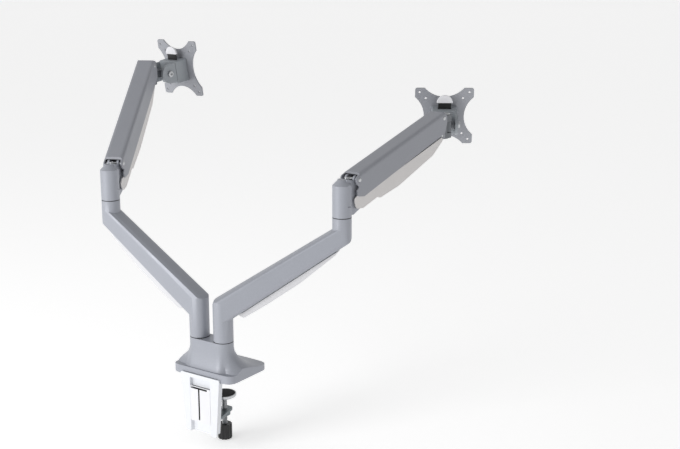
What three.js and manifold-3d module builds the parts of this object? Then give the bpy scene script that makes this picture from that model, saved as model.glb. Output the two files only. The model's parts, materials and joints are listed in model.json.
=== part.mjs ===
// Desk-clamped monitor arm for two displays, in millimetres, +Z up.
// The desk top is the plane z = 0 and the desk's rear edge runs along X, at the clamp's side flanges.
// +Y points off the desk, away from the person at it. The "right" arm is the one on the +X side, which is
// the right-hand side of somebody sitting at -Y and looking along +Y.
import * as THREE from "three";
import { mergeVertices } from "three/addons/utils/BufferGeometryUtils.js";
import Module from "manifold-3d";

const wasm = await Module();
wasm.setup();

// ---------------------------------------------------------------- driving dimensions
const clearance = 0.3; // between touching pieces, and round every pin
const washerGap = 1.5; // the dark groove at every swivel, which the plastic washer fills

const tubeRadius = 18.5; // upright tubes at the base
const elbowRadius = 17.5; // and at the elbow
const postRadius = 10; // steel swivel post inside a tube
const stubSpacing = 57; // between the two swivel axes on the base
const ringHeight = 68; // middle of the base groove above the desk top

const base = { halfWidth: 71, rear: 33, front: 76, cornerRadius: 19, rearHeight: 15.5, frontHeight: 9 };
const basePostSocket = 42; // depth of the post in the column
const basePostReach = 50; // height of the post in the lower arm

const lowerArm = {
  reach: 216, // between the base and elbow axes
  rise: 231, // between the base and elbow grooves
  top: 86.9, // height of the beam's top line over the base axis
  topDrop: 13, // and its depth below the elbow groove at the elbow axis
  bottom: 32.5,
  bottomDrop: 54.9,
  bendRadius: 15,
  edgeRadius: 10,
};
const channel = { from: 38, half: 8.5, roof: 7 }; // the cable channel in the underside of the lower arm
const elbowPost = { down: 36, up: 34 };

const rearPivot = { x: 27, z: 65.4 }; // upper rear pin, from the elbow axis and groove
const pinDrop = 34; // from an upper pin down to the lower pin of the same end
const pinShift = 2; // and forward
const linkLength = 265; // pin to pin, the same for the shell and the lower link
const pinRadius = 4;
const lowerPinRadius = 3.5;

const shell = { halfWidth: 18.9, wall: 2.5, top: 11.4, corner: 7, rearDepth: 33.5, frontDepth: 28, ear: 9.5 };
const sideGap = 0.4; // between walls that slide past each other
const coverHalfWidth = shell.halfWidth - shell.wall - sideGap;
const coverWall = 1.7;
const link = { halfWidth: coverHalfWidth - coverWall - clearance, wall: 2.5, up: 6, down: 7 };
// The parts of the castings that the link straddles.
const tongue = { halfWidth: link.halfWidth - link.wall - sideGap, slot: 7 };

const gasCylinder = { radius: 9, length: 140, frontSetback: 34, drop: 8, trunnion: 3 };
const gasRodRadius = 3.4;
const gasSeat = { x: 21, z: 50 }; // tip of the rod in the knuckle, in the elbow frame
const tensionScrew = { x: 13.5, radius: 2.5, headRadius: 4.6, low: 36 };

const front = { panOffset: 32.5, lugRadius: 10.2, lugTop: 3, gapTop: -10, gapBottom: -32, bottom: -42 };
const panPinRadius = 4;
const tiltOffset = 29; // from the pan axis to the tilt axis
const tiltBoltRadius = 4;
const tiltCheek = { radius: 20, inner: 18.4, outer: 24.5, face: 17.5 };
const dock = { halfWidth: 25.5, top: 22, bottom: 26, corner: 3 };
const vesa = { back: 49.8, thickness: 3, half: 59, corner: 5, waist: 40.5, scallop: 52, holeRadius: 2.3 };
const vesaPatterns = [37.5, 50]; // half of the 75 mm and the 100 mm hole patterns
const tab = { depth: 16, thickness: 4, low: 33.5, radius: 16, stemHalfWidth: 13, stemLow: 4 };

const bracket = {
  wall: 3,
  topHalf: 46.5,
  bottomHalf: 37,
  top: 5.6,
  bottom: -108,
  flange: 10.5,
  channelHalf: 24,
  channelDepth: 7,
};
const clip = { top: -18, bottom: -86, thickness: 2.4, barEnd: 2.5, slot: 3.4, barZ: -20.6, stemLow: -82 };
const clipShift = 3; // the slit sits to the right of the middle
const clampAxisY = -31; // screw axis
const jaw = { top: -81, thickness: 5, rootHalf: 29, tipHalf: 9, tip: -46, leg: 34 };
const disc = { radius: 23, top: -49.5, thickness: 6.5 };
const clampScrewRadius = 5;
const knob = { radius: 13.5, top: -111, height: 29 };

// How each arm stands: degrees about the upright axes, then the pitch of the parallelogram and the display's
// backward tilt.
const arms = [
  { side: "right", stub: stubSpacing / 2, lower: 0, elbow: -65.4, pitch: 39.5, pan: -30.5, tilt: 9.7 },
  { side: "left", stub: -stubSpacing / 2, lower: 214.8, elbow: 48.2, pitch: 18.4, pan: 39.7, tilt: 12.1 },
];

// ---------------------------------------------------------------- finishes
const finishes = {
  paint: { color: 0xa9abb2, roughness: 0.42, metalness: 0.35 },
  darkPaint: { color: 0x77797e, roughness: 0.45, metalness: 0.4 },
  whitePaint: { color: 0xe9e9ea, roughness: 0.45, metalness: 0.1 },
  whitePlastic: { color: 0xe6e5e1, roughness: 0.5, metalness: 0 },
  blackPlastic: { color: 0x141414, roughness: 0.5, metalness: 0 },
  rubber: { color: 0x1b1c1d, roughness: 0.85, metalness: 0 },
  steel: { color: 0xc4c6c8, roughness: 0.3, metalness: 1 },
  zinc: { color: 0x8f979a, roughness: 0.4, metalness: 0.9 },
};

// ---------------------------------------------------------------- shapes
const radians = THREE.MathUtils.degToRad;

// A closed three.js geometry as a manifold solid, whichever way its faces were wound.
function solid(geometry) {
  const bare = geometry.clone();
  bare.deleteAttribute("normal");
  bare.deleteAttribute("uv");
  const merged = mergeVertices(bare, 1e-4);
  const corners = merged.index.array;
  const triangles = [];
  for (let i = 0; i < corners.length; i += 3) {
    const [a, b, c] = [corners[i], corners[i + 1], corners[i + 2]];
    if (a !== b && b !== c && c !== a) triangles.push(a, b, c);
  }
  const build = (triVerts) =>
    new wasm.Manifold(
      new wasm.Mesh({
        numProp: 3,
        vertProperties: new Float32Array(merged.attributes.position.array),
        triVerts: new Uint32Array(triVerts),
      }),
    );
  const made = build(triangles);
  return made.volume() < 0 ? build(triangles.reverse()) : made;
}

function geometryOf(made) {
  const mesh = made.getMesh();
  const geometry = new THREE.BufferGeometry();
  const positions = new Float32Array(mesh.numVert * 3);
  for (let i = 0; i < mesh.numVert; i++) {
    positions.set(mesh.vertProperties.subarray(i * mesh.numProp, i * mesh.numProp + 3), i * 3);
  }
  geometry.setAttribute("position", new THREE.BufferAttribute(positions, 3));
  geometry.setIndex(new THREE.BufferAttribute(new Uint32Array(mesh.triVerts), 1));
  return geometry;
}

const join = (...parts) => parts.reduce((all, part) => all.add(part));
const cut = (body, ...tools) => tools.reduce((left, tool) => left.subtract(tool), body);

function box(x0, x1, y0, y1, z0, z1) {
  const geometry = new THREE.BoxGeometry(x1 - x0, y1 - y0, z1 - z0);
  return solid(geometry.translate((x0 + x1) / 2, (y0 + y1) / 2, (z0 + z1) / 2));
}

// Solids of revolution, from [radius, height] points, about an axis through (x, y, z).
function turned(profile, axis = "z", [x, y, z] = [0, 0, 0], sides = 28) {
  const points = profile.map(([r, h]) => new THREE.Vector2(r, h));
  const geometry = new THREE.LatheGeometry(points, sides);
  if (axis === "z") geometry.rotateX(Math.PI / 2);
  if (axis === "x") geometry.rotateZ(-Math.PI / 2);
  return solid(geometry.translate(x, y, z));
}

function rod(radius, from, to, axis = "z", at = [0, 0, 0], sides = 16) {
  const profile = [[0, from], [radius, from], [radius, to], [0, to]];
  return turned(profile, axis, at, sides);
}

// A rod with its two end edges chamfered.
function pin(radius, from, to, axis, at = [0, 0, 0], chamfer = 0.8, sides = 12) {
  const profile = [
    [0, from],
    [radius - chamfer, from],
    [radius, from + chamfer],
    [radius, to - chamfer],
    [radius - chamfer, to],
    [0, to],
  ];
  return turned(profile, axis, at, sides);
}

// An outline through [x, y, corner radius] points.
function outline(corners) {
  const shape = new THREE.Shape();
  corners.forEach(([x, y, radius = 0], i) => {
    const corner = new THREE.Vector2(x, y);
    const before = new THREE.Vector2(...corners.at(i - 1).slice(0, 2)).sub(corner);
    const after = new THREE.Vector2(...corners[(i + 1) % corners.length].slice(0, 2)).sub(corner);
    const half = Math.abs(before.angle() - after.angle()) / 2;
    const setback = radius / Math.abs(Math.tan(half));
    const start = before.setLength(setback).add(corner);
    const end = after.setLength(setback).add(corner);
    if (i) shape.lineTo(start.x, start.y);
    else shape.moveTo(start.x, start.y);
    if (radius) shape.quadraticCurveTo(x, y, end.x, end.y);
  });
  return shape;
}

const rectangle = (x0, x1, y0, y1, r) =>
  outline([[x0, y0, r], [x1, y0, r], [x1, y1, r], [x0, y1, r]]);

// Shapes seen from above, raised from z0 to z1.
function raised(shape, z0, z1, curveSegments = 6) {
  const geometry = new THREE.ExtrudeGeometry(shape, { depth: z1 - z0, bevelEnabled: false, curveSegments });
  return solid(geometry.translate(0, 0, z0));
}

// Shapes seen from the side, (x, z), spread from y0 to y1, with their edges rounded if edge is given.
function spread(shape, y0, y1, curveSegments = 6, edge = 0) {
  const settings = { depth: y1 - y0 - 2 * edge, bevelEnabled: edge > 0, curveSegments };
  if (edge) {
    Object.assign(settings, { bevelSize: edge, bevelThickness: edge, bevelOffset: -edge, bevelSegments: 2 });
  }
  const geometry = new THREE.ExtrudeGeometry(shape, settings);
  return solid(geometry.rotateX(Math.PI / 2).translate(0, y1 - edge, 0));
}

// Shapes seen from the front, (y, z), spread from x0 to x1.
function facing(shape, x0, x1, curveSegments = 6) {
  const geometry = new THREE.ExtrudeGeometry(shape, { depth: x1 - x0, bevelEnabled: false, curveSegments });
  const turn = new THREE.Matrix4().makeBasis(
    new THREE.Vector3(0, 1, 0),
    new THREE.Vector3(0, 0, 1),
    new THREE.Vector3(1, 0, 0),
  );
  return solid(geometry.applyMatrix4(turn).translate(x0, 0, 0));
}

const mirroredY = (make) => join(make(1), make(-1));

// A bar with round ends between two points, whose far end may be of another radius.
function slotShape(x0, x1, y, radius, farRadius = radius) {
  const shape = new THREE.Shape();
  shape.absarc(x1, y, farRadius, -Math.PI / 2, Math.PI / 2);
  shape.absarc(x0, y, radius, Math.PI / 2, (3 * Math.PI) / 2);
  return shape;
}

// ---------------------------------------------------------------- assembly helpers
const root = new THREE.Group();

function add(group, name, made, finish) {
  const mesh = new THREE.Mesh(geometryOf(made), new THREE.MeshStandardMaterial(finishes[finish]));
  mesh.name = name;
  group.add(mesh);
  return mesh;
}

function frameAt(parent, x, y, z, { turn = 0, pitch = 0 } = {}) {
  const group = new THREE.Group();
  group.position.set(x, y, z);
  group.rotation.set(0, -radians(pitch), radians(turn), "ZYX");
  parent.add(group);
  return group;
}

// ---------------------------------------------------------------- base and desk clamp
// Half-width of the foot at each height: upright at the column, sweeping out to a shallow slope at the rim.
const footProfile = [
  [tubeRadius, 56],
  [19.7, 48],
  [23.6, 40.5],
  [28.7, 33.5],
  [36.7, 26],
  [46, 19.5],
  [60, 14],
  [110, 6],
];

// Towards the clamp the rim is close, so the same sweep is squeezed to end at the rim.
const rearSqueeze = (base.rear - tubeRadius) / 56;
const rearReach = (radius) => tubeRadius + (radius - tubeRadius) * rearSqueeze;

function baseFoot() {
  const halfSpacing = stubSpacing / 2;
  const profile = [[0, 0], [110, 0], ...footProfile.toReversed(), [0, 56]];
  const stubFoot = (x) => {
    const points = profile.map(([r, h]) => new THREE.Vector2(r, h));
    const geometry = new THREE.LatheGeometry(points, 32).rotateX(Math.PI / 2);
    const position = geometry.getAttribute("position");
    for (let i = 0; i < position.count; i++) {
      const radius = Math.hypot(position.getX(i), position.getY(i));
      if (position.getY(i) > 1e-6 && radius > tubeRadius) {
        const turn = Math.atan2(position.getY(i), Math.abs(position.getX(i)));
        const share = Math.min(1, turn / radians(45));
        const reach = THREE.MathUtils.lerp(radius, rearReach(radius), share);
        position.setX(i, (position.getX(i) / radius) * reach);
        position.setY(i, (position.getY(i) / radius) * reach);
      }
    }
    return solid(geometry.translate(x, 0, 0));
  };
  const between = [
    [-110, 0],
    [rearReach(110), 0],
    ...footProfile.toReversed().map(([r, h]) => [rearReach(r), h]),
    ...footProfile.map(([r, h]) => [-r, h]),
  ];
  const middle = facing(outline(between), -halfSpacing, halfSpacing);
  const rim = rectangle(-base.halfWidth, base.halfWidth, -base.front, base.rear, base.cornerRadius);
  return join(stubFoot(halfSpacing), stubFoot(-halfSpacing), middle).intersect(raised(rim, clearance, 60));
}

const flangeHalf = 40;
const flangeFront = -40;
const padThickness = 2;
const flangeLow = padThickness + clearance;
const flangeTop = flangeLow + bracket.wall;
const webInner = base.rear + 2 * clearance;
const webOuter = webInner + bracket.wall;
const flangeEdge = webOuter - bracket.flange; // where the desk's edge stops

function baseCasting() {
  const half = stubSpacing / 2;
  const rim = rectangle(-base.halfWidth, base.halfWidth, -base.front, base.rear, base.cornerRadius);
  const { front: toward, rear, rearHeight, frontHeight } = base;
  const slope = outline([
    [-toward, clearance],
    [rear, clearance],
    [rear, rearHeight],
    [-toward, frontHeight],
  ]);
  const plate = facing(slope, -base.halfWidth, base.halfWidth).intersect(raised(rim, clearance, 60));
  const body = join(
    plate,
    baseFoot(),
    raised(slotShape(-half, half, 0, tubeRadius), clearance, ringHeight - washerGap / 2, 8),
  );
  const sockets = [half, -half].map((x) =>
    rod(postRadius + clearance, ringHeight - basePostSocket, ringHeight, "z", [x, 0, 0]),
  );
  const padPocket = raised(rectangle(-70, 70, -74, base.rear - 4, 15), -1, flangeLow);
  const flangeRoom = flangeHalf + 1;
  const flangePocket = box(-flangeRoom, flangeRoom, flangeFront - 1, base.rear + 1, -1, flangeTop + 0.6);
  return cut(body, ...sockets, padPocket, flangePocket);
}

function clampBracket() {
  const { wall, topHalf, bottomHalf, top, bottom, channelHalf, channelDepth } = bracket;
  const web = spread(
    outline([[-bottomHalf, bottom, 5], [bottomHalf, bottom, 5], [topHalf, top, 3], [-topHalf, top, 3]]),
    webInner,
    webOuter,
  );
  const stripTop = -1;
  const halfAt = (z) => THREE.MathUtils.mapLinear(z, bottom, top, bottomHalf, topHalf);
  const strip = (s) => {
    const shape = outline([
      [s * halfAt(bottom + 6), bottom + 6],
      [s * halfAt(stripTop), stripTop],
      [s * (halfAt(stripTop) - wall), stripTop],
      [s * (halfAt(bottom + 6) - wall), bottom + 6],
    ]);
    return spread(shape, flangeEdge, webOuter);
  };
  const flange = box(-flangeHalf, flangeHalf, flangeFront, webInner + 1, flangeLow, flangeTop);
  const channelTop = -2;
  const floor = webOuter - channelDepth;
  const troughHalf = channelHalf + wall;
  const trough = box(-troughHalf, troughHalf, floor - wall, webOuter, bottom, channelTop + wall);
  const hollow = box(-channelHalf, channelHalf, floor, webOuter + 1, bottom - 1, channelTop);
  return cut(join(web, strip(1), strip(-1), flange, trough), hollow);
}

function cableClip() {
  const { top, bottom, thickness, barEnd, slot, barZ, stemLow } = clip;
  const half = bracket.channelHalf - clearance;
  const barHalf = half - barEnd - clipShift;
  const floor = webOuter - bracket.channelDepth + clearance;
  const face = spread(rectangle(-half, half, bottom, top, 1.5), webOuter - thickness, webOuter);
  const side = (x) => box(x, x + 2, floor, webOuter - 0.5, bottom + 2, top - 2);
  const barShape = slotShape(clipShift - barHalf, clipShift + barHalf, barZ, slot / 2);
  const bar = spread(barShape, floor, webOuter + 1);
  const stem = box(clipShift - slot / 2, clipShift + slot / 2, floor, webOuter + 1, stemLow, barZ);
  const foot = box(-half, half, floor, webOuter - 0.5, bottom + 1, bottom + 3);
  return join(cut(join(face, side(half - 2), side(-half)), bar, stem), foot);
}

function clampJaw() {
  const { top, thickness, rootHalf, tipHalf, tip, leg } = jaw;
  const root = webOuter - bracket.channelDepth - bracket.wall - clearance;
  const tongueShape = outline([[-rootHalf, root], [-tipHalf, tip, 8], [tipHalf, tip, 8], [rootHalf, root]]);
  const plate = raised(tongueShape, top - thickness, top);
  const gripHalf = bracket.channelHalf + bracket.wall - 1;
  const low = top - thickness;
  const upright = box(-gripHalf, gripHalf, root - thickness, root, low, low + leg);
  const boss = rod(11, top - thickness - 7, top, "z", [0, clampAxisY, 0]);
  const thread = rod(clampScrewRadius + clearance, top - 40, top + 40, "z", [0, clampAxisY, 0]);
  return cut(join(plate, upright, boss), thread);
}

const half = stubSpacing / 2;
add(root, "base_casting", baseCasting(), "paint");
add(root, "base_pad", raised(rectangle(-69, 69, -73, flangeEdge - 1, 14), 0, padThickness), "rubber");
add(root, "clamp_bracket", clampBracket(), "whitePaint");
add(root, "cable_clip", cableClip(), "whitePlastic");
add(root, "clamp_jaw", clampJaw(), "zinc");
const clampGroup = frameAt(root, 0, clampAxisY, 0);
const discLow = disc.top - disc.thickness;
const screwHole = rod(clampScrewRadius + clearance, discLow - 1, discLow + 3.5);
add(
  clampGroup,
  "pressure_disc",
  cut(pin(disc.radius, discLow, disc.top, "z", [0, 0, 0], 1.2, 28), screwHole),
  "rubber",
);
add(
  clampGroup,
  "clamp_screw",
  pin(clampScrewRadius, knob.top - 20, discLow + 3.5 - clearance, "z", [0, 0, 0], 1),
  "steel",
);
const knobShape = outline(
  Array.from({ length: 24 }, (_, i) => {
    const angle = (i / 24) * 2 * Math.PI;
    const radius = i % 2 ? knob.radius : knob.radius - 1.6;
    return [radius * Math.cos(angle), radius * Math.sin(angle)];
  }),
);
const knobSocket = rod(clampScrewRadius + clearance, knob.top - 20 - clearance, knob.top + 1);
const knobBody = cut(raised(knobShape, knob.top - knob.height, knob.top), knobSocket);
add(clampGroup, "clamp_knob", knobBody, "blackPlastic");

// ---------------------------------------------------------------- the pieces of one arm, in its own frames
const washer = (radius) => {
  const profile = [
    [postRadius + clearance, -washerGap / 2 + clearance],
    [radius - 0.9, -washerGap / 2 + clearance],
    [radius - 0.9, washerGap / 2 - clearance],
    [postRadius + clearance, washerGap / 2 - clearance],
    [postRadius + clearance, -washerGap / 2 + clearance],
  ];
  return turned(profile, "z", [0, 0, 0], 24);
};

const post = (down, up) => pin(postRadius, -down + clearance, up - clearance, "z", [0, 0, 0], 1.2, 16);

const slopeBetween = (low, drop) => (lowerArm.rise - drop - low) / lowerArm.reach;
const beamTop = (x) => lowerArm.top + slopeBetween(lowerArm.top, lowerArm.topDrop) * x;
const beamBottom = (x) => lowerArm.bottom + slopeBetween(lowerArm.bottom, lowerArm.bottomDrop) * x;

// Origin on the base axis at the base groove, +X towards the elbow.
function lowerArmCasting() {
  const { reach, rise, bendRadius, edgeRadius } = lowerArm;
  const low = washerGap / 2;
  const high = rise - washerGap / 2;
  const x0 = -tubeRadius;
  const x1 = reach + elbowRadius;
  const profile = outline([
    [x0, beamBottom(x0)],
    [x1, beamBottom(x1), bendRadius],
    [x1, beamTop(x1)],
    [x0, beamTop(x0), bendRadius],
  ]);
  const beam = spread(profile, -tubeRadius, tubeRadius, 4, edgeRadius);
  const plan = raised(slotShape(0, reach, 0, tubeRadius, elbowRadius), 0, high, 8);
  const bendTop = beamTop(x0) - bendRadius / 2;
  const elbowFoot = beamBottom(x1) + bendRadius / 2;
  const body = join(
    beam.intersect(plan),
    rod(tubeRadius, low, bendTop, "z", [0, 0, 0], 32),
    rod(elbowRadius, elbowFoot, high, "z", [reach, 0, 0], 32),
  );
  const baseBore = rod(postRadius + clearance, -1, basePostReach);
  const elbowBore = rod(postRadius + clearance, rise - elbowPost.down, rise + 1, "z", [reach, 0, 0]);
  const roof = (x) => beamTop(x) - channel.roof;
  const mouth = (x) => beamBottom(x) - 5;
  const [from, to] = [channel.from, reach - channel.from + 12];
  const channelSide = outline([[from, mouth(from)], [to, mouth(to)], [to, roof(to)], [from, roof(from)]]);
  return cut(body, baseBore, elbowBore, spread(channelSide, -channel.half, channel.half));
}

// The tray under the lower arm that hides the cables, open at both ends.
function lowerCover() {
  const { reach } = lowerArm;
  const under = (x, drop) => [x, beamBottom(x) - clearance - drop];
  const outer = outline([
    under(30, 0),
    [...under(38, 11), 6],
    [...under(80, 14), 10],
    [...under(140, 14), 10],
    [...under(reach - 12, 5), 4],
    under(reach - 4, 0),
  ]);
  const inner = outline([
    under(24, -4),
    under(24, 9),
    [...under(46, 9.2), 3],
    [...under(80, 11.6), 8],
    [...under(140, 11.6), 8],
    [...under(reach - 14, 2.6), 3],
    under(reach + 4, 2),
    under(reach + 4, -4),
  ]);
  const halfWidth = 11;
  return cut(spread(outer, -halfWidth, halfWidth, 3), spread(inner, -halfWidth + 2, halfWidth - 2, 3));
}

const rearLower = { x: rearPivot.x + pinShift, z: rearPivot.z - pinDrop };

// Origin on the elbow axis at the elbow groove, +X along the upper arm.
function knuckle() {
  const top = 68;
  const chamfer = 10;
  const profile = [
    [0, washerGap / 2],
    [elbowRadius, washerGap / 2],
    [elbowRadius, top - chamfer],
    [elbowRadius - chamfer, top],
    [0, top],
  ];
  const tube = turned(profile, "z", [0, 0, 0], 32);
  const relief = (x, inner, low) => join(box(x, 30, inner, 30, low, 80), box(x, 30, -30, -inner, low, 80));
  const shellRoom = relief(-3, shell.halfWidth - shell.wall - clearance, 20);
  const coverRoom = relief(8.5, coverHalfWidth - coverWall - clearance, 5);
  const boss = shell.top - shell.wall - 1.4; // stays clear of the rounded corners inside the shell
  const ears = outline([
    [0, 3],
    [19, 3],
    [38, 12, 4],
    [39, 34, 9],
    [rearPivot.x + boss, rearPivot.z + boss, boss - 0.3],
    [rearPivot.x - boss, rearPivot.z + boss, boss - 0.3],
    [rearPivot.x - boss, top - 3],
    [6, top],
    [0, top],
  ]);
  const block = spread(ears, -tongue.halfWidth, tongue.halfWidth, 4);
  const slot = box(8, 60, -tongue.slot, tongue.slot, 30, 90);
  const bore = rod(postRadius + clearance, -1, elbowPost.up);
  const upperHole = rod(pinRadius + clearance, -30, 30, "y", [rearPivot.x, 0, rearPivot.z], 12);
  const lowerHole = rod(lowerPinRadius + clearance, -30, 30, "y", [rearLower.x, 0, rearLower.z], 12);
  return cut(join(cut(tube, shellRoom, coverRoom), block), slot, bore, upperHole, lowerHole);
}

// The nut that the tension screw draws up and down, with a cupped face for the end of the gas rod.
function tensionBlock() {
  const { x, radius } = tensionScrew;
  const halfWidth = tongue.slot - clearance - 0.1;
  const body = box(x - 5, x + 4.2, -halfWidth, halfWidth, gasSeat.z - 9, gasSeat.z + 7);
  return cut(body, rod(radius + clearance, 0, 90, "z", [x, 0, 0], 16));
}

function tensionScrewSolid() {
  const { x, radius, headRadius, low } = tensionScrew;
  const headLow = 64;
  const headTop = 70.5;
  const at = [x, 0, 0];
  const body = join(rod(radius, low, headTop - 1, "z", at), rod(headRadius, headLow, headTop, "z", at));
  return cut(body, rod(2.3, headTop - 3, headTop + 1, "z", at, 6));
}

const trunnionDepth = 1.5; // how far the spring's cross pin goes into each wall of the shell
const gasFront = { x: linkLength - gasCylinder.frontSetback, z: -gasCylinder.drop };

// Origin at the rear upper pin, +X along the arm. An inverted channel, with ears round the two pins.
function upperShell() {
  const { halfWidth, wall, top, corner, rearDepth, frontDepth, ear } = shell;
  const profile = [
    [6.5, top, 1],
    [linkLength + 4, top, 3],
    [linkLength + ear, 2, 6],
    [linkLength + ear - 3, -10, 4],
    [linkLength - 6, -frontDepth, 5],
    [2, -rearDepth, 4],
    [-15, -25, 3],
    [-12, -14, 2],
    [-3, -11, 3],
    [-ear, -6, 5],
    [-ear, 8, 6],
    [2.5, Math.min(ear, top - wall), 3],
  ];
  const body = spread(outline(profile), -halfWidth, halfWidth, 3);
  const topRounding = facing(rectangle(-halfWidth, halfWidth, -60, top, corner), -40, linkLength + 40, 4);
  const inner = halfWidth - wall;
  const inside = facing(rectangle(-inner, inner, -80, top - wall, 2.5), -60, linkLength + 60, 3);
  const pinHole = (x) => rod(pinRadius + clearance, -30, 30, "y", [x, 0, 0], 12);
  const reach = inner + trunnionDepth;
  const seatRadius = gasCylinder.trunnion + clearance;
  const springSeat = rod(seatRadius, -reach, reach, "y", [gasFront.x, 0, gasFront.z], 12);
  return cut(body.intersect(topRounding), inside, pinHole(0), pinHole(linkLength), springSeat);
}

// Origin at the rear lower pin, +X along the arm.
function lowerLink() {
  const { halfWidth, wall, up, down } = link;
  const side = (s) => {
    const shape = outline([[-8, -down, 6], [linkLength + 8, -down, 6], [linkLength + 8, up, 6], [-8, up, 6]]);
    return spread(shape, s > 0 ? halfWidth - wall : -halfWidth, s > 0 ? halfWidth : wall - halfWidth, 3);
  };
  const floor = box(28, linkLength - 30, -halfWidth + 0.5, halfWidth - 0.5, -down, -down + wall);
  const hole = (x) => rod(lowerPinRadius + clearance, -30, 30, "y", [x, 0, 0], 12);
  return cut(join(side(1), side(-1), floor), hole(0), hole(linkLength));
}

function upperCover() {
  const outer = outline([
    [-13.5, 7, 8],
    [-13.5, -14, 8],
    [4, -21.5, 6],
    [48, -21, 2],
    [53, -26, 3],
    [110, -30, 20],
    [222, -22, 16],
    [linkLength - 5, -8, 3],
    [linkLength - 5, -1, 1],
    [16, 0],
    [0, 7, 6],
  ]);
  const inner = outline([
    [-30, 20],
    [-30, -9],
    [-7, -16.5, 4],
    [6, -19.5, 3],
    [49, -19, 1],
    [54.5, -24, 2],
    [110, -28, 18],
    [221, -20.2, 14],
    [linkLength - 24, -14],
    [linkLength + 20, -14],
    [linkLength + 20, 20],
  ]);
  const innerHalf = coverHalfWidth - coverWall;
  const hollow = spread(inner, -innerHalf, innerHalf, 3);
  const rearMouth = box(-20, 12, -tongue.halfWidth - 1, tongue.halfWidth + 1, -30, 20);
  return cut(spread(outer, -coverHalfWidth, coverHalfWidth, 3), hollow, rearMouth);
}

// The gas spring's own frame has its cross pin, held by the shell, at the origin and +X towards the knuckle.
function gasSpringBody() {
  const { radius, length, trunnion } = gasCylinder;
  const barrel = turned(
    [[0, 12], [radius - 3, 12], [radius, 16], [radius, length], [radius - 2, length + 3], [0, length + 3]],
    "x",
    [0, 0, 0],
    16,
  );
  const crossHalf = shell.halfWidth - shell.wall + trunnionDepth - clearance;
  const cross = rod(trunnion, -crossHalf, crossHalf, "y", [0, 0, 0], 12);
  const eye = join(rod(7, -5, 5, "y"), cross);
  const neck = box(0, 14, -4, 4, -4, 4);
  const rodBore = rod(gasRodRadius + clearance, 20, length + 10, "x", [0, 0, 0], 12);
  return cut(join(barrel, eye, neck), rodBore);
}

function gasRod(reach) {
  const { length } = gasCylinder;
  const tip = reach - 5;
  const shaft = rod(gasRodRadius, length - 70, tip, "x", [0, 0, 0], 12);
  return join(shaft, turned([[0, tip - 5], [5, tip - 5], [5, tip + 1], [0, tip + 5]], "x", [0, 0, 0], 12));
}

// Origin at the front upper pin, always level, +X away from the arm.
function frontBracket() {
  const { panOffset, lugRadius, lugTop, gapTop, gapBottom, bottom } = front;
  const side = outline([
    [-6.7, 6.7, 6],
    [4.5, 6.7, 4],
    [12, lugTop, 2],
    [60, lugTop],
    [60, gapTop],
    [panOffset - lugRadius - 1.5, gapTop, 1],
    [panOffset - lugRadius - 1.5, gapBottom, 1],
    [60, gapBottom],
    [60, bottom],
    [2, bottom, 6],
    [-6, bottom + 4, 4],
  ]);
  const half = tongue.halfWidth;
  const plan = new THREE.Shape();
  plan.moveTo(-20, -half);
  plan.lineTo(panOffset - lugRadius, -half);
  plan.lineTo(panOffset, -lugRadius);
  plan.absarc(panOffset, 0, lugRadius, -Math.PI / 2, Math.PI / 2);
  plan.lineTo(panOffset - lugRadius, half);
  plan.lineTo(-20, half);
  const body = spread(side, -half, half, 4).intersect(raised(plan, -60, 30, 7));
  const panHole = rod(panPinRadius + clearance, -60, 30, "z", [panOffset, 0, 0]);
  const upperHole = rod(pinRadius + clearance, -30, 30, "y");
  const lowerHole = rod(lowerPinRadius + clearance, -30, 30, "y", [pinShift, 0, -pinDrop]);
  return cut(body, panHole, upperHole, lowerHole);
}

const panMiddle = (front.gapTop + front.gapBottom) / 2;

// Origin on the pan axis at the height of the tilt axis, +X towards the display.
function panNeck() {
  const halfHeight = (front.gapTop - front.gapBottom) / 2 - 2 * clearance;
  const barrel = rod(9.4, -halfHeight, halfHeight, "z", [0, 0, 0], 24);
  const neck = box(0, tiltOffset, -8, 8, -7.5, 7.5);
  const bossHalf = tiltCheek.inner - clearance;
  const boss = rod(9.5, -bossHalf, bossHalf, "y", [tiltOffset, 0, 0], 24);
  const panHole = rod(panPinRadius + clearance, -30, 30);
  const tiltHole = rod(tiltBoltRadius + clearance, -40, 40, "y", [tiltOffset, 0, 0]);
  return cut(join(barrel, neck, boss), panHole, tiltHole);
}

function panPin() {
  const { lugTop, bottom } = front;
  const head = 7;
  const profile = [
    [0, bottom - 3],
    [panPinRadius, bottom - 3],
    [panPinRadius, lugTop + clearance],
    [head, lugTop + clearance],
    [head, lugTop + 2.5],
    [head - 1, lugTop + 3.3],
    [0, lugTop + 3.3],
  ];
  return turned(profile, "z", [front.panOffset, 0, 0], 16);
}

// Origin on the tilt axis, +X towards the display.
function tiltBracket() {
  const { radius, inner, outer, face } = tiltCheek;
  const cheekShape = new THREE.Shape();
  cheekShape.moveTo(face, -radius);
  cheekShape.lineTo(face, radius);
  cheekShape.lineTo(0, radius);
  cheekShape.absarc(0, 0, radius, Math.PI / 2, (3 * Math.PI) / 2);
  const cheeks = mirroredY((s) => spread(cheekShape, s > 0 ? inner : -outer, s > 0 ? outer : -inner, 8));
  const web = box(face - 4.5, face, -outer, outer, -radius, radius);
  const hole = rod(tiltBoltRadius + clearance, -40, 40, "y");
  return cut(join(cheeks, web), hole, rod(spigot.radius + clearance, 0, 40, "x"));
}

// Hex-socket bolt through both cheeks, its head on the -Y side.
function tiltBolt() {
  const { outer } = tiltCheek;
  const head = 6.5;
  const profile = [
    [0, -outer - 4.5],
    [head - 1, -outer - 4.5],
    [head, -outer - 3.7],
    [head, -outer - clearance],
    [tiltBoltRadius, -outer - clearance],
    [tiltBoltRadius, outer + 2],
    [0, outer + 2],
  ];
  const socket = rod(3.2, -outer - 9, -outer - 1.5, "y", [0, 0, 0], 6);
  return cut(turned(profile, "y", [0, 0, 0], 20), socket);
}

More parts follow.
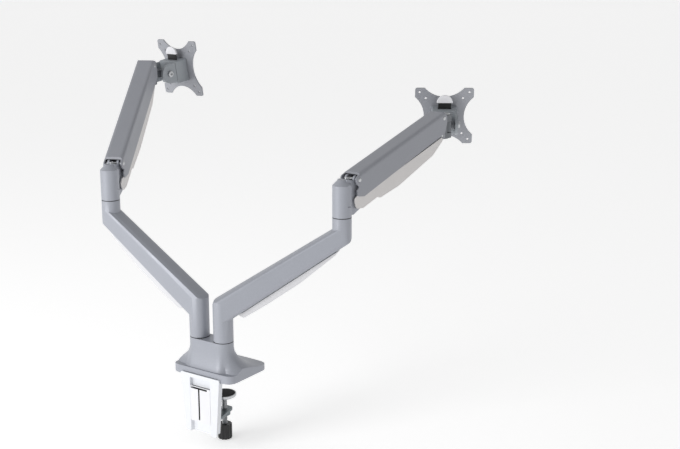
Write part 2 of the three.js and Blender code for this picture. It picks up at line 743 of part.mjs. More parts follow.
const stemX = vesa.back - tab.depth;
const spigot = { radius: 6, from: 11.4 }; // the dock turns on this, in the tilt bracket

function dockBox() {
  const { halfWidth, top, bottom, corner } = dock;
  const body = facing(
    rectangle(-halfWidth, halfWidth, -bottom, top, corner),
    tiltCheek.face + 0.4,
    vesa.back - clearance,
  );
  const latchWell = box(stemX - 3, stemX + 3, -tab.stemHalfWidth - 0.6, tab.stemHalfWidth + 0.6, -4, top + 1);
  return join(cut(body, latchWell), rod(spigot.radius, spigot.from, tiltCheek.face + 2, "x"));
}

function vesaPlate() {
  const { back, thickness, half: side, corner, waist, scallop, holeRadius } = vesa;
  const square = facing(rectangle(-side, side, -side, side, corner), back, back + thickness, 4);
  const centre = waist + scallop;
  const scallops = [[centre, 0], [-centre, 0], [0, centre], [0, -centre]].map(([y, z]) =>
    rod(scallop, back - 1, back + thickness + 1, "x", [0, y, z], 48),
  );
  const holes = vesaPatterns.flatMap((d) =>
    [[d, d], [-d, d], [d, -d], [-d, -d]].map(([y, z]) =>
      rod(holeRadius, back - 1, back + thickness + 1, "x", [0, y, z], 8),
    ),
  );
  return cut(square, ...scallops, ...holes);
}

function releaseTab() {
  const { thickness, low, radius, stemHalfWidth, stemLow } = tab;
  const halfDisc = new THREE.Shape();
  halfDisc.moveTo(-radius, 0);
  halfDisc.lineTo(radius, 0);
  halfDisc.absarc(0, 0, radius, 0, Math.PI);
  const cap = facing(halfDisc, stemX - thickness / 2, stemX + thickness / 2, 8);
  const geometry = geometryOf(cap).translate(0, 0, low);
  const stem = box(stemX - 1.4, stemX + 1.4, -stemHalfWidth, stemHalfWidth, stemLow, low + 4);
  return join(solid(geometry), stem);
}

// ---------------------------------------------------------------- the two arms
for (const arm of arms) {
  const { side, stub, lower, elbow, pitch, pan, tilt } = arm;
  const named = (piece) => `${side}_${piece}`;

  const stubFrame = frameAt(root, stub, 0, ringHeight);
  add(stubFrame, named("base_post"), post(basePostSocket, basePostReach), "steel");
  add(stubFrame, named("base_washer"), washer(tubeRadius), "blackPlastic");

  const lowerFrame = frameAt(stubFrame, 0, 0, 0, { turn: lower });
  add(lowerFrame, named("lower_arm"), lowerArmCasting(), "paint");
  add(lowerFrame, named("lower_cable_cover"), lowerCover(), "whitePlastic");

  const elbowFrame = frameAt(lowerFrame, lowerArm.reach, 0, lowerArm.rise, { turn: elbow });
  add(elbowFrame, named("elbow_washer"), washer(elbowRadius), "blackPlastic");
  add(elbowFrame, named("elbow_post"), post(elbowPost.down, elbowPost.up), "steel");
  add(elbowFrame, named("elbow_knuckle"), knuckle(), "paint");
  const shellPin = shell.halfWidth + 0.9;
  const rearUpperPin = pin(pinRadius, -shellPin, shellPin, "y", [rearPivot.x, 0, rearPivot.z]);
  add(elbowFrame, named("rear_upper_pin"), rearUpperPin, "steel");
  const linkPin = link.halfWidth;
  const rearLowerPin = pin(lowerPinRadius, -linkPin, linkPin, "y", [rearLower.x, 0, rearLower.z]);
  add(elbowFrame, named("rear_lower_pin"), rearLowerPin, "steel");
  add(elbowFrame, named("tension_block"), tensionBlock(), "zinc");
  add(elbowFrame, named("tension_screw"), tensionScrewSolid(), "steel");

  const shellFrame = frameAt(elbowFrame, rearPivot.x, 0, rearPivot.z, { pitch });
  add(shellFrame, named("upper_shell"), upperShell(), "paint");
  const frontUpperPin = pin(pinRadius, -shellPin, shellPin, "y", [linkLength, 0, 0]);
  add(shellFrame, named("front_upper_pin"), frontUpperPin, "steel");

  const tilted = radians(pitch);
  const seat = new THREE.Vector2(gasSeat.x - rearPivot.x, gasSeat.z - rearPivot.z)
    .rotateAround(new THREE.Vector2(), -tilted)
    .sub(new THREE.Vector2(gasFront.x, gasFront.z));
  const springPitch = THREE.MathUtils.radToDeg(Math.atan2(seat.y, seat.x));
  const springFrame = frameAt(shellFrame, gasFront.x, 0, gasFront.z, { pitch: springPitch });
  add(springFrame, named("gas_cylinder"), gasSpringBody(), "blackPlastic");
  add(springFrame, named("gas_rod"), gasRod(seat.length()), "steel");

  const linkFrame = frameAt(elbowFrame, rearLower.x, 0, rearLower.z, { pitch });
  add(linkFrame, named("lower_link"), lowerLink(), "darkPaint");
  add(linkFrame, named("upper_cable_cover"), upperCover(), "whitePlastic");
  const frontLowerPin = pin(lowerPinRadius, -linkPin, linkPin, "y", [linkLength, 0, 0]);
  add(linkFrame, named("front_lower_pin"), frontLowerPin, "steel");

  const frontX = rearPivot.x + linkLength * Math.cos(tilted);
  const frontZ = rearPivot.z + linkLength * Math.sin(tilted);
  const frontFrame = frameAt(elbowFrame, frontX, 0, frontZ);
  add(frontFrame, named("front_bracket"), frontBracket(), "darkPaint");
  add(frontFrame, named("pan_pin"), panPin(), "steel");

  const panFrame = frameAt(frontFrame, front.panOffset, 0, panMiddle, { turn: pan });
  add(panFrame, named("pan_neck"), panNeck(), "darkPaint");

  const tiltFrame = frameAt(panFrame, tiltOffset, 0, 0, { pitch: tilt });
  add(tiltFrame, named("tilt_bracket"), tiltBracket(), "paint");
  add(tiltFrame, named("tilt_bolt"), tiltBolt(), "steel");
  add(tiltFrame, named("dock"), dockBox(), "paint");
  add(tiltFrame, named("vesa_plate"), vesaPlate(), "darkPaint");
  add(tiltFrame, named("release_tab"), releaseTab(), "whitePlastic");
}

export default root;
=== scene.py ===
import json
import math

import bmesh
import bpy
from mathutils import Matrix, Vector


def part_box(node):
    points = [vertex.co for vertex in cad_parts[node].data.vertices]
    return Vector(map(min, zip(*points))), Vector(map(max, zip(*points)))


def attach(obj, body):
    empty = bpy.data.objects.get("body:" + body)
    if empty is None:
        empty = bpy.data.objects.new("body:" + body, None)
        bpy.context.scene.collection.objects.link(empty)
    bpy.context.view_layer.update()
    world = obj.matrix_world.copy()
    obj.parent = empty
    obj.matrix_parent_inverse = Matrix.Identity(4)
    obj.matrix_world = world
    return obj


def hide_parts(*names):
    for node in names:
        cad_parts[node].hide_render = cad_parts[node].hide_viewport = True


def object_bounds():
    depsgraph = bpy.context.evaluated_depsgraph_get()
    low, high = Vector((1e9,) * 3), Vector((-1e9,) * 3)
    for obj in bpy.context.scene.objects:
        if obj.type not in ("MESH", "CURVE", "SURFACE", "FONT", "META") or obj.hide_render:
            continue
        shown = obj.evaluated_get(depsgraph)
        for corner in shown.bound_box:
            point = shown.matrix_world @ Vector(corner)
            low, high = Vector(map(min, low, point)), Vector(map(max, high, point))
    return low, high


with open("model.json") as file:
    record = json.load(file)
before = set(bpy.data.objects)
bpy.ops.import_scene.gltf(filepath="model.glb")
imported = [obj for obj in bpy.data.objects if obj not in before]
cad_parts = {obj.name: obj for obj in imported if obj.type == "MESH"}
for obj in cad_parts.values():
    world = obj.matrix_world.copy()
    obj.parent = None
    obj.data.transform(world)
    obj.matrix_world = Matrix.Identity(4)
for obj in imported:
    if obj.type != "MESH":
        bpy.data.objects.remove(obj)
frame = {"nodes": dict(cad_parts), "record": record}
cad_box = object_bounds()

# ---------------------------------------------------------------- camera
# A long lens, a little above the elbows, looking along the two arms from behind the clamp.
camera_data = bpy.data.cameras.new("camera")
camera_data.lens = 58.24
camera_data.sensor_width = 36.0
camera_data.sensor_fit = "HORIZONTAL"
camera_data.clip_start = 0.05
camera = bpy.data.objects.new("camera", camera_data)
camera.location = (-1.2734, 1.4572, 0.7381)
line_of_sight = Vector((0.5461, -0.8053, -0.2309))
camera.rotation_euler = line_of_sight.to_track_quat("-Z", "Y").to_euler()
bpy.context.scene.collection.objects.link(camera)
bpy.context.scene.camera = camera
bpy.context.scene.view_settings.view_transform = "Standard"  # so that white paint comes out white

# ---------------------------------------------------------------- studio floor and lights
# A white light table just under the clamp's knob, a white room that is dimmer overhead and on one side, and a
# large soft box beside the camera, so that the upright faces turned to it are the bright ones.
MM = 0.001
FLOOR_GAP = 0.6 * MM  # a hair under the knob, so that nothing touches the floor
FLOOR_REACH = 60.0  # far enough for its edge to be out of sight from every side


def linear(text, alpha=1.0):
    """The linear colour of an sRGB hex value."""
    channels = [int(text[i : i + 2], 16) / 255 for i in (1, 3, 5)]
    return tuple(c / 12.92 if c <= 0.04045 else ((c + 0.055) / 1.055) ** 2.4 for c in channels) + (alpha,)


def add_node(material, kind, settings=None, **sockets):
    """Adds a node. A socket is named by its name with _ for a space, or iN for number N."""
    made = material.node_tree.nodes.new(kind)
    for name, value in (settings or {}).items():
        setattr(made, name, value)
    for name, value in sockets.items():
        key = int(name[1:]) if name[0] == "i" and name[1:].isdigit() else name.replace("_", " ")
        socket = made.inputs[key]
        if isinstance(value, bpy.types.NodeSocket):
            material.node_tree.links.new(value, socket)
        else:
            socket.default_value = value
    return made


def new_material(name):
    made = bpy.data.materials.new(name)
    made.use_nodes = True
    made.node_tree.nodes.clear()
    return made


def surface(material, **sockets):
    """Ends a material with its shader and output."""
    shader = add_node(material, "ShaderNodeBsdfPrincipled", **sockets)
    add_node(material, "ShaderNodeOutputMaterial", Surface=shader.outputs[0])


def object_from(name, bm, material):
    mesh = bpy.data.meshes.new(name)
    bm.to_mesh(mesh)
    bm.free()
    made = bpy.data.objects.new(name, mesh)
    bpy.context.scene.collection.objects.link(made)
    mesh.materials.append(material)
    return made


floor_paint = new_material("studio_floor_paint")
surface(
    floor_paint,
    Base_Color=linear("#f6f6f6"),
    Roughness=0.9,
    Specular_IOR_Level=0.1,
    Emission_Color=linear("#ffffff"),
    Emission_Strength=0.42,
)
bm = bmesh.new()
bmesh.ops.create_grid(bm, x_segments=1, y_segments=1, size=FLOOR_REACH)
bmesh.ops.translate(bm, verts=bm.verts, vec=(0, 0, cad_box[0][2] - FLOOR_GAP))
object_from("studio_floor", bm, floor_paint)

world = bpy.data.worlds.new("studio")
bpy.context.scene.world = world
world.use_nodes = True
world.node_tree.nodes.clear()
direction = add_node(world, "ShaderNodeTexCoord").outputs["Generated"]
parts = add_node(world, "ShaderNodeSeparateXYZ", Vector=direction).outputs
overhead = add_node(world, "ShaderNodeMapRange", Value=parts["Z"], From_Max=0.9, To_Min=0.94, To_Max=0.44)
far_side = add_node(
    world, "ShaderNodeMapRange", Value=parts["X"], From_Min=-0.8, From_Max=0.2, To_Min=0.62, To_Max=1.0
)
strength = add_node(
    world,
    "ShaderNodeMath",
    {"operation": "MULTIPLY"},
    i0=overhead.outputs["Result"],
    i1=far_side.outputs["Result"],
)
room = add_node(world, "ShaderNodeBackground", Color=linear("#ffffff"), Strength=strength.outputs[0])
add_node(world, "ShaderNodeOutputWorld", Surface=room.outputs[0])

key_data = bpy.data.lights.new("key_box", "AREA")
key_data.shape = "SQUARE"
key_data.size = 1.3
key_data.energy = 36
key = bpy.data.objects.new("key_box", key_data)
key.location = (0.9, 2.5, 0.95)
arm_middle = Vector((0.02, -0.15, 0.28))
key.rotation_euler = (arm_middle - key.location).to_track_quat("-Z", "Y").to_euler()
bpy.context.scene.collection.objects.link(key)

# ---------------------------------------------------------------- base casting
# The foot that stands on the desk: die-cast aluminium with two stubs for the arms, powder coated satin silver
# grey. The coat gives an even colour with a fine fleck, a slight orange peel and a soft, broken shine.
MERGE_DISTANCE = 3e-6  # joins the corners of a CAD node's loose triangles
FLAT_WITHIN = 0.6  # degrees between triangles that are parts of one flat face
COAT_FLECK = 0.7  # mm. A real coat's fleck is 0.1 mm, and is drawn this coarse so that it shows
COAT_CLOUD = 45  # mm across the faint patches in its colour and its shine
COAT_PEEL = 1.6  # mm across the dimples of its orange peel
COAT_PEEL_DEPTH = 0.12 * MM
body_of = {node: body for body, nodes in frame["record"]["behaviour"]["bodies"].items() for node in nodes}
joint_of = {joint["name"]: joint for joint in frame["record"]["behaviour"]["joints"]}
SIDES = ("right", "left")


def per_metre(millimetres):
    """Texture scale whose features are about this many millimetres across."""
    return 1.0 / (millimetres * MM)


def noise(material, millimetres, detail=2.0):
    """A cloud of spots about this many millimetres across, on the piece's own coordinates."""
    point = add_node(material, "ShaderNodeTexCoord").outputs["Object"]
    made = add_node(
        material, "ShaderNodeTexNoise", Vector=point, Scale=per_metre(millimetres), Detail=detail
    )
    return made.outputs["Fac"]


def between(material, fac, low, high):
    """A colour or a number that goes from low to high with fac."""
    if isinstance(low, str):
        mix = add_node(
            material, "ShaderNodeMix", {"data_type": "RGBA"}, i0=fac, i6=linear(low), i7=linear(high)
        )
        return mix.outputs[2]
    ranged = add_node(
        material, "ShaderNodeMapRange", Value=fac, From_Min=0.3, From_Max=0.7, To_Min=low, To_Max=high
    )
    return ranged.outputs["Result"]


def powder_coat(name, light, dark, roughness, metallic, peel=0.12):
    """A baked powder coat: flecked, faintly clouded, and dimpled by peel, from 0 to 1."""
    made = new_material(name)
    fleck = between(made, noise(made, COAT_FLECK), 0.0, 0.7)
    cloud = noise(made, COAT_CLOUD)
    shade = add_node(made, "ShaderNodeMath", {"operation": "MULTIPLY_ADD"}, i0=cloud, i1=0.3, i2=fleck)
    dimples = noise(made, COAT_PEEL, 1.0)
    relief = add_node(made, "ShaderNodeBump", Height=dimples, Strength=peel, Distance=COAT_PEEL_DEPTH)
    surface(
        made,
        Base_Color=between(made, shade.outputs[0], dark, light),
        Metallic=metallic,
        Roughness=between(made, cloud, roughness - 0.05, roughness + 0.06),
        Normal=relief.outputs["Normal"],
    )
    return made


def dressed(node, material, edge, segments=3, angle=32.0, shape=None, name=None, whole_faces=True):
    """The node's own shape with its loose triangles merged and its flat faces made whole, and with the small
    edge radius, in millimetres, that such a piece has. shape can cut or mark the mesh first."""
    name = name or node + "_dressed"
    bm = bmesh.new()
    bm.from_mesh(frame["nodes"][node].data)
    bmesh.ops.remove_doubles(bm, verts=bm.verts, dist=MERGE_DISTANCE)
    if whole_faces:
        flat = math.radians(FLAT_WITHIN)
        bmesh.ops.dissolve_limit(bm, angle_limit=flat, verts=bm.verts, edges=bm.edges)
    if shape:
        shape(bm)
    for face in bm.faces:
        face.smooth = True
    piece = object_from(name, bm, material)
    bevel = piece.modifiers.new("edge_radius", "BEVEL")
    bevel.width = edge * MM
    bevel.segments = segments
    bevel.limit_method = "ANGLE"
    bevel.angle_limit = math.radians(angle)
    bevel.use_clamp_overlap = True
    bevel.miter_outer = "MITER_ARC"
    weighted = piece.modifiers.new("even_shading", "WEIGHTED_NORMAL")
    weighted.weight = 80
    weighted.keep_sharp = True
    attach(piece, body_of[node])
    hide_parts(node)
    return piece


silver_coat = powder_coat("silver_powder_coat", "#a9acb5", "#999ca4", 0.42, 0.15)
dressed("base_casting", silver_coat, 0.9)

# ---------------------------------------------------------------- desk pad
# The pad glued under the foot to save the desk top: black nitrile rubber, moulded with a fine grain that
# leaves it matte, nearly black and without a sheen.
MOULD_CLOUD = 30  # mm across the faint patches in a moulding's colour and shine
MOULD_GRAIN_DEPTH = 0.08 * MM


def moulded(name, light, dark, roughness, grain, depth):
    """A moulded surface: a fine spark-eroded grain, grain mm across, keeps the shine low and even."""
    made = new_material(name)
    point = add_node(made, "ShaderNodeTexCoord").outputs["Object"]
    pits = add_node(made, "ShaderNodeTexVoronoi", Vector=point, Scale=per_metre(grain))
    cloud = noise(made, MOULD_CLOUD)
    pitted = pits.outputs["Distance"]
    relief = add_node(made, "ShaderNodeBump", Height=pitted, Strength=depth, Distance=MOULD_GRAIN_DEPTH)
    surface(
        made,
        Base_Color=between(made, cloud, dark, light),
        Roughness=between(made, cloud, roughness - 0.04, roughness + 0.05),
        Normal=relief.outputs["Normal"],
    )
    return made


black_rubber = moulded("black_nitrile_rubber", "#232425", "#1a1b1c", 0.72, 0.9, 0.3)
dressed("base_pad", black_rubber, 0.4)

# ---------------------------------------------------------------- clamp bracket
# The back plate that hangs behind the desk edge: 3 mm steel, folded, with a trough down its middle for the
# cables. Its powder coat is a clean, slightly glossy white. The floor of the trough behind the clip is a dull
# black, which is painted shade for the shadow deep in the trough.
white_coat = powder_coat("white_powder_coat", "#e9ebef", "#e1e3e8", 0.36, 0.0, 0.07)
# The dull black on the trough's floor behind the clip is painted shade, standing in for the shadow deep in
# the trough.
trough_painted_shade = powder_coat("trough_painted_shade", "#161617", "#101011", 0.6, 0.0, 0.05)
clip_low, clip_high = (Vector(corner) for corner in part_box("cable_clip"))
clip_back = clip_high.y - 3 * MM  # behind the clip's outer wall
shade_band_low = clip_low.z + 3 * MM
shade_band_high = clip_high.z - 1 * MM


def paint_trough_shade(bm):
    """Gives the floor of the trough behind the clip the second material, a dull black that is painted shade.
    """
    for height in (shade_band_low, shade_band_high):
        bmesh.ops.bisect_plane(
            bm, geom=[*bm.verts, *bm.edges, *bm.faces], plane_co=(0, 0, height), plane_no=(0, 0, 1)
        )
    for face in bm.faces:
        middle = face.calc_center_median()
        behind_clip = clip_low.x < middle.x < clip_high.x and shade_band_low < middle.z < shade_band_high
        behind_clip = behind_clip and middle.y < clip_back
        face.material_index = int(behind_clip and face.normal.y > 0.9)


bracket = dressed("clamp_bracket", white_coat, 0.7, shape=paint_trough_shade)
bracket.data.materials.append(trough_painted_shade)

# ---------------------------------------------------------------- cable clip
# The snap-in cover of the trough: white ABS with a low, even shine, moulded with a T-shaped slit for the
# cables. The walls of the slit are given the black rubber material as painted shade, for the dark hollow
# seen through the slit.
CLIP_RIM = 1.2 * MM  # the clip's own edge, outside the slit, at its top and sides
CLIP_FOOT = 2 * MM  # the same at its foot
white_abs = moulded("white_moulded_abs", "#eaeaed", "#e2e2e6", 0.46, 0.6, 0.14)


def paint_slit_shade(bm):
    """The faces of the slit, which look sideways, up or down and lie inside the clip's outline, take black as
    painted shade.
    """
    for face in bm.faces:
        middle = face.calc_center_median()
        inside = clip_low.x + CLIP_RIM < middle.x < clip_high.x - CLIP_RIM
        inside = inside and clip_low.z + CLIP_FOOT < middle.z < clip_high.z - CLIP_RIM
        face.material_index = int(inside and abs(face.normal.y) < 0.5 and middle.y > clip_back)


clip = dressed("cable_clip", white_abs, 0.5, shape=paint_slit_shade)
# The black on the slit's walls is painted shade for the shadowed hollow behind the slit.
clip.data.materials.append(black_rubber)

# ---------------------------------------------------------------- clamp jaw
# The sliding lower jaw: cast zinc, left bare and tumbled, so it is a dull metal with an uneven shine.
METAL_MARK_DEPTH = 0.05 * MM


def bare_metal(name, light, dark, roughness, streak):
    """Bare metal, with the marks that tumbling or turning leaves about streak millimetres apart."""
    made = new_material(name)
    mark = noise(made, streak, 3.0)
    relief = add_node(made, "ShaderNodeBump", Height=mark, Strength=0.08, Distance=METAL_MARK_DEPTH)
    surface(
        made,
        Base_Color=between(made, mark, dark, light),
        Metallic=1.0,
        Roughness=between(made, mark, roughness - 0.06, roughness + 0.08),
        Normal=relief.outputs["Normal"],
    )
    return made


tumbled_zinc = bare_metal("tumbled_cast_zinc", "#858c90", "#747b7f", 0.46, 2.5)
dressed("clamp_jaw", tumbled_zinc, 0.8)

# ---------------------------------------------------------------- pressure disc
# The foot that presses up under the desk: a turned steel cup with a black rubber face in it. Its zinc plating
# is a bright, slightly blurred mirror.
disc_low, disc_high = (Vector(corner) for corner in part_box("pressure_disc"))
disc_middle = (disc_low + disc_high) / 2
disc_radius = (disc_high.x - disc_low.x) / 2
cup_floor = disc_high.z - 2.5 * MM
CUP_WALL = 2.2 * MM
CUP_LIP = 0.5 * MM  # how far the rubber stands above the cup's lip
CUP_CHAMFER = 1.5 * MM
FACE_GAP = 0.1 * MM  # between the rubber and the cup's wall
FACE_CHAMFER = (1.0 * MM, 0.4 * MM)  # in from the cup's wall, and down
TURNING_STEPS = 64
TURNED_EDGE = 0.3 * MM
SEAM = 1e-6  # joins a turned piece's last step to its first
zinc_plate = bare_metal("zinc_plated_steel", "#d3d5d7", "#babcbe", 0.30, 1.2)


def turned_piece(name, node, profile, material, axis=disc_middle):
    """A node's stand-in, turned about an upright axis from (radius, height) pairs in metres."""
    bm = bmesh.new()
    corners = [bm.verts.new((axis.x + radius, axis.y, height)) for radius, height in profile]
    edges = [bm.edges.new(pair) for pair in zip(corners, corners[1:])]
    bmesh.ops.spin(
        bm,
        geom=corners + edges,
        cent=(axis.x, axis.y, 0),
        axis=(0, 0, 1),
        angle=math.tau,
        steps=TURNING_STEPS,
        use_merge=True,
    )
    bmesh.ops.remove_doubles(bm, verts=bm.verts, dist=SEAM)
    bmesh.ops.recalc_face_normals(bm, faces=bm.faces)
    for face in bm.faces:
        face.smooth = True
    piece = object_from(name, bm, material)
    bevel = piece.modifiers.new("edge_radius", "BEVEL")
    bevel.width = TURNED_EDGE
    bevel.segments = 2
    bevel.limit_method = "ANGLE"
    piece.modifiers.new("even_shading", "WEIGHTED_NORMAL")
    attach(piece, body_of[node])
    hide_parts(node)
    return piece


turned_piece(
    "pressure_disc_cup",
    "pressure_disc",
    [
        (0, disc_low.z),
        (disc_radius - CUP_CHAMFER, disc_low.z),
        (disc_radius, disc_low.z + CUP_CHAMFER),
        (disc_radius, disc_high.z - CUP_LIP),
        (disc_radius - CUP_WALL, disc_high.z - CUP_LIP),
        (disc_radius - CUP_WALL, cup_floor),
        (0, cup_floor),
    ],
    zinc_plate,
)
turned_piece(
    "pressure_disc_face",
    "pressure_disc",
    [
        (0, cup_floor),
        (disc_radius - CUP_WALL - FACE_GAP, cup_floor),
        (disc_radius - CUP_WALL - FACE_GAP, disc_high.z - FACE_CHAMFER[1]),
        (disc_radius - CUP_WALL - FACE_CHAMFER[0], disc_high.z),
        (0, disc_high.z),
    ],
    black_rubber,
)

# ---------------------------------------------------------------- clamp screw
# The M10 spindle that the knob turns: zinc-plated steel with a rolled thread. A ridge is wound round a plain
# core, sunk a little way into it.
screw_low, screw_high = (Vector(corner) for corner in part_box("clamp_screw"))
screw_radius = (screw_high.x - screw_low.x) / 2
THREAD_PITCH = 1.5 * MM
THREAD_STEPS = 24  # in one turn
THREAD_DEPTH = 0.9 * MM
THREAD_SUNK = 0.2 * MM
THREAD_FOOT = 0.6 * MM  # half the ridge's width at its foot
THREAD_CREST = 0.1 * MM  # and at its crest
PLAIN_PITCHES = 3  # the length without a thread, at both ends together
CORE_SIDES = 32
thread_root = screw_radius - THREAD_DEPTH
thread_turns = (screw_high.z - screw_low.z - PLAIN_PITCHES * THREAD_PITCH) / THREAD_PITCH
bm = bmesh.new()
ridge = [
    bm.verts.new((disc_middle.x + radius, disc_middle.y, screw_low.z + THREAD_PITCH + height))
    for radius, height in (
        (thread_root - THREAD_SUNK, -THREAD_FOOT),
        (screw_radius, -THREAD_CREST),
        (screw_radius, THREAD_CREST),
        (thread_root - THREAD_SUNK, THREAD_FOOT),
    )
]
ridge_end = bm.faces.new(ridge)
thread_count = int(thread_turns * THREAD_STEPS)
bmesh.ops.spin(
    bm,
    geom=[ridge_end, *ridge_end.verts, *ridge_end.edges],
    cent=(disc_middle.x, disc_middle.y, 0),
    axis=(0, 0, 1),
    dvec=(0, 0, THREAD_PITCH / THREAD_STEPS),
    angle=math.tau * thread_count / THREAD_STEPS,
    steps=thread_count,
)
core = bmesh.ops.create_cone(
    bm,
    cap_ends=True,
    segments=CORE_SIDES,
    radius1=thread_root,
    radius2=thread_root,
    depth=screw_high.z - screw_low.z,
)
bmesh.ops.translate(
    bm, verts=core["verts"], vec=(disc_middle.x, disc_middle.y, (screw_low.z + screw_high.z) / 2)
)
bmesh.ops.recalc_face_normals(bm, faces=bm.faces)
for face in bm.faces:
    face.smooth = len(face.verts) == 4
clamp_screw = object_from("clamp_screw_threaded", bm, zinc_plate)
clamp_screw.modifiers.new("even_shading", "WEIGHTED_NORMAL")
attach(clamp_screw, body_of["clamp_screw"])
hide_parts("clamp_screw")

# ---------------------------------------------------------------- clamp knob
# The fluted hand knob on the spindle: black glass-filled nylon, moulded with a coarse grain, so that its
# flutes show as soft grey lines.
black_nylon = moulded("black_moulded_nylon", "#1c1c1d", "#121213", 0.44, 0.7, 0.2)
dressed("clamp_knob", black_nylon, 0.9)

# ---------------------------------------------------------------- swivel posts and bearing rings
# Each arm turns on a plated steel post that stands in the piece below it, with a ring of black acetal in the
# joint that shows as a dark line round the column. Both were turned on a lathe.
RING_RISE = 0.45 * MM  # how far the ring's edge fills the rounded rims above and below it
RING_INSET = 0.1 * MM  # from the side of the column in to the ring
RING_TAPER = 0.35 * MM
RING_WALL = 5 * MM
WASHER_INSET = 0.9 * MM  # from the side of the column in to the CAD washer, which the ring stands for


def refinished(node, material):
    """A node that keeps the mesh it came with, because little of it shows."""
    thing = frame["nodes"][node]
    thing.data.materials.clear()
    thing.data.materials.append(material)


black_acetal = moulded("black_acetal", "#060607", "#030304", 0.7, 0.8, 0.1)
for side in SIDES:
    for place in ("base", "elbow"):
        refinished(f"{side}_{place}_post", zinc_plate)
        ring_low, ring_high = (Vector(corner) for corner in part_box(f"{side}_{place}_washer"))
        outer = (ring_high.x - ring_low.x) / 2 + WASHER_INSET - RING_INSET
        turned_piece(
            f"{side}_{place}_ring",
            f"{side}_{place}_washer",
            [
                (outer - RING_WALL, ring_low.z),
                (outer - RING_TAPER, ring_low.z),
                (outer, ring_low.z - RING_RISE),
                (outer, ring_high.z + RING_RISE),
                (outer - RING_TAPER, ring_high.z),
                (outer - RING_WALL, ring_high.z),
                (outer - RING_WALL, ring_low.z),
            ],
            black_acetal,
            axis=(ring_low + ring_high) / 2,
        )

# ---------------------------------------------------------------- lower arms
# The two fixed-length arms: die-cast aluminium boxes, open below, with their tubes cast on, and powder
# coated as the base is. Each has a long radius on every edge of its back.
for side in SIDES:
    dressed(f"{side}_lower_arm", silver_coat, 1.0, angle=40.0)

# ---------------------------------------------------------------- lower cable covers
# The snap-in channel under each lower arm that hides the cables: pale grey ABS, injection moulded, a little
# darker than the clip and as dull.
pale_abs = moulded("pale_grey_moulded_abs", "#dddde0", "#d2d2d5", 0.46, 0.6, 0.14)
for side in SIDES:
    dressed(f"{side}_lower_cable_cover", pale_abs, 0.5)

# ---------------------------------------------------------------- elbow knuckles
# The elbow that carries the spring arm: die-cast aluminium, coned at the top, with two ears for the pins.
for side in SIDES:
    dressed(f"{side}_elbow_knuckle", silver_coat, 1.2, segments=4, angle=28.0)

# ---------------------------------------------------------------- tension screw and nut block
# The socket screw in the top of the elbow that sets the lift, and the zinc block it draws up and down.
for side in SIDES:
    dressed(f"{side}_tension_screw", zinc_plate, 0.3)
    refinished(f"{side}_tension_block", tumbled_zinc)

# ---------------------------------------------------------------- spring arm shells
# The upper arm: an inverted channel pressed from 2.5 mm steel. Its powder coat is a satin grey, a little
# darker and duller than the castings'.
shell_coat = powder_coat("grey_powder_coat", "#9fa1a8", "#909299", 0.44, 0.15)
for side in SIDES:
    dressed(f"{side}_upper_shell", shell_coat, 0.6)

# ---------------------------------------------------------------- gas springs
# The sealed gas spring inside each shell: a steel barrel painted dull black, and a bright plated rod.
barrel_paint = powder_coat("black_barrel_paint", "#2b2c2e", "#222325", 0.4, 0.0, 0.05)
for side in SIDES:
    refinished(f"{side}_gas_cylinder", barrel_paint)
    refinished(f"{side}_gas_rod", zinc_plate)

# ---------------------------------------------------------------- lower links
# The lower bar of each parallelogram: a folded steel channel in the same coat as the shell.
for side in SIDES:
    dressed(f"{side}_lower_link", shell_coat, 0.4)

# ---------------------------------------------------------------- upper cable covers
# The clip-on channel under each spring arm: white ABS, injection moulded, gone a little warm and grey.
warm_abs = moulded("warm_white_moulded_abs", "#dedbda", "#d4d1d0", 0.46, 0.6, 0.14)
for side in SIDES:
    dressed(f"{side}_upper_cable_cover", warm_abs, 0.5)

# ---------------------------------------------------------------- hinge pins
# Turned steel pins, zinc plated, riveted over at both ends in the four pivots of each parallelogram.
for side in SIDES:
    for place in ("rear_upper", "rear_lower", "front_upper", "front_lower"):
        dressed(f"{side}_{place}_pin", zinc_plate, 0.5)

# ---------------------------------------------------------------- front bracket and pan neck
# The upright that the parallelogram keeps level and the neck that pans in it on a steel pin: die-cast
# aluminium, powder coated a satin dark grey.
dark_coat = powder_coat("dark_grey_powder_coat", "#74777c", "#666a6f", 0.42, 0.2)
for side in SIDES:
    dressed(f"{side}_front_bracket", dark_coat, 0.9)
    dressed(f"{side}_pan_neck", dark_coat, 0.7)
    dressed(f"{side}_pan_pin", zinc_plate, 0.3)

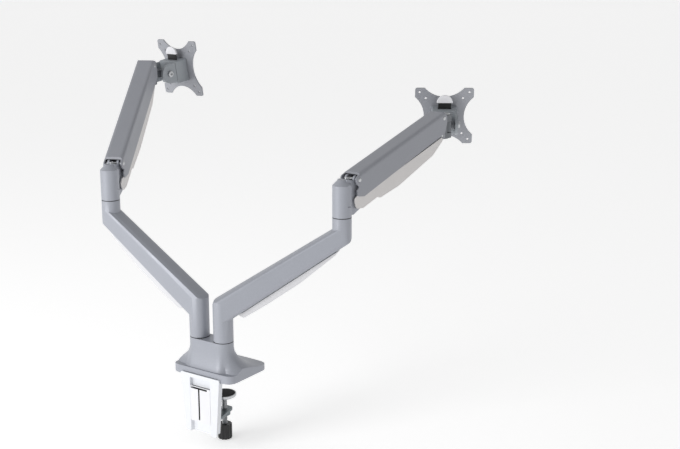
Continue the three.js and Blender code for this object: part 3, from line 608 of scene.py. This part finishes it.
# ---------------------------------------------------------------- tilt bracket and bolt
# The cheek that holds the head at its tilt, of cast aluminium, and the plated socket bolt that clamps it. The
# head's powder coat is a little darker and more metallic than the castings' of the arm.
head_coat = powder_coat("head_powder_coat", "#a4a9ae", "#959a9f", 0.42, 0.2)
for side in SIDES:
    dressed(f"{side}_tilt_bracket", head_coat, 0.9)
    dressed(f"{side}_tilt_bolt", zinc_plate, 0.4)

# ---------------------------------------------------------------- dock
# The box on the end of each arm that the plate hooks into: die-cast aluminium in the head's coat.
for side in SIDES:
    dressed(f"{side}_dock", head_coat, 1.2)

# ---------------------------------------------------------------- display plates
# The plate that screws to the back of a display: 3 mm steel, laser cut and powder coated grey.
plate_coat = powder_coat("plate_powder_coat", "#a3a5ab", "#94969c", 0.42, 0.25)
for side in SIDES:
    dressed(f"{side}_vesa_plate", plate_coat, 0.4, segments=2, whole_faces=False)

# ---------------------------------------------------------------- release tabs
# The tab pressed to let the plate off the dock: a white ABS thumb piece moulded over a black nylon stem.
THUMB_EDGE = 33.5 * MM  # from the middle of the dock to the straight edge of the thumb piece


def halved(bm, split, press, keep_stem):
    """Keeps the stem or the thumb piece, to one side of the plane through split, with a closed cut."""
    cut = bmesh.ops.bisect_plane(
        bm,
        geom=[*bm.verts, *bm.edges, *bm.faces],
        dist=1e-6,
        plane_co=split,
        plane_no=-press,
        clear_outer=keep_stem,
        clear_inner=not keep_stem,
    )
    rim = [part for part in cut["geom_cut"] if isinstance(part, bmesh.types.BMEdge)]
    bmesh.ops.holes_fill(bm, edges=rim, sides=0)
    bmesh.ops.recalc_face_normals(bm, faces=bm.faces)


for side in SIDES:
    press = Vector(joint_of[f"{side}_release_press"]["axis"])
    split = Vector(joint_of[f"{side}_head_rotation"]["pos_m"]) - press * THUMB_EDGE
    tab = f"{side}_release_tab"
    dressed(tab, white_abs, 0.9, shape=lambda bm: halved(bm, split, press, False), name=tab + "_thumb")
    stem = dressed(tab, black_nylon, 0.4, shape=lambda bm: halved(bm, split, press, True), name=tab + "_stem")
